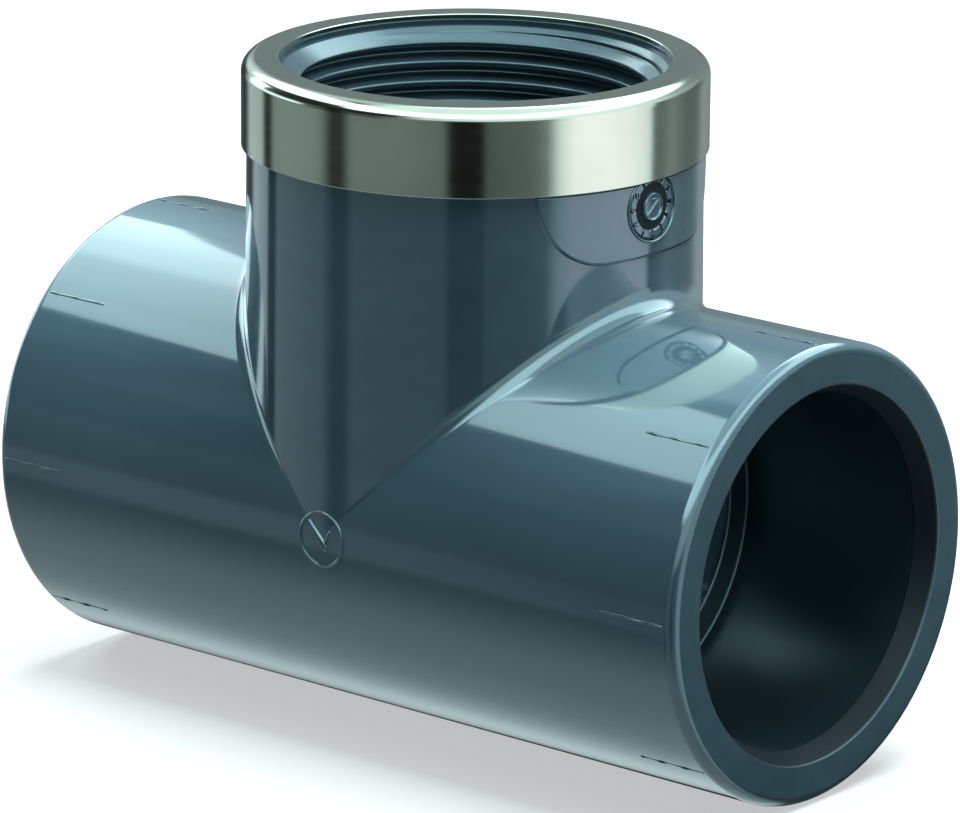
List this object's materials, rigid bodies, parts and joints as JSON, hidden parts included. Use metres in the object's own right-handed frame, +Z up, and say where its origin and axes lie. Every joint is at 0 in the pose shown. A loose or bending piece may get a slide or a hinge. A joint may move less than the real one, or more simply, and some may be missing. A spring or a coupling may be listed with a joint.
{
  "type": "pipe tee",
  "caption": "Grey plastic adaptor tee: a straight run with two plain pipe sockets, and a branch with a female pipe thread held by a pressed steel ring.",
  "frame": {"origin": "where the run's axis and the branch's axis cross", "axes": "+X along the run towards one pipe socket, +Z up along the branch and out of its threaded mouth"},
  "size_m": [0.1, 0.0526, 0.0768],
  "materials": {
    "grey_pvc": "smooth moulded, glossy",
    "ring_steel": "bright rolled sheet"
  },
  "bodies": {
    "root": {"tee_body": "grey_pvc", "reinforcing_ring": "ring_steel"}
  },
  "joints": []
}
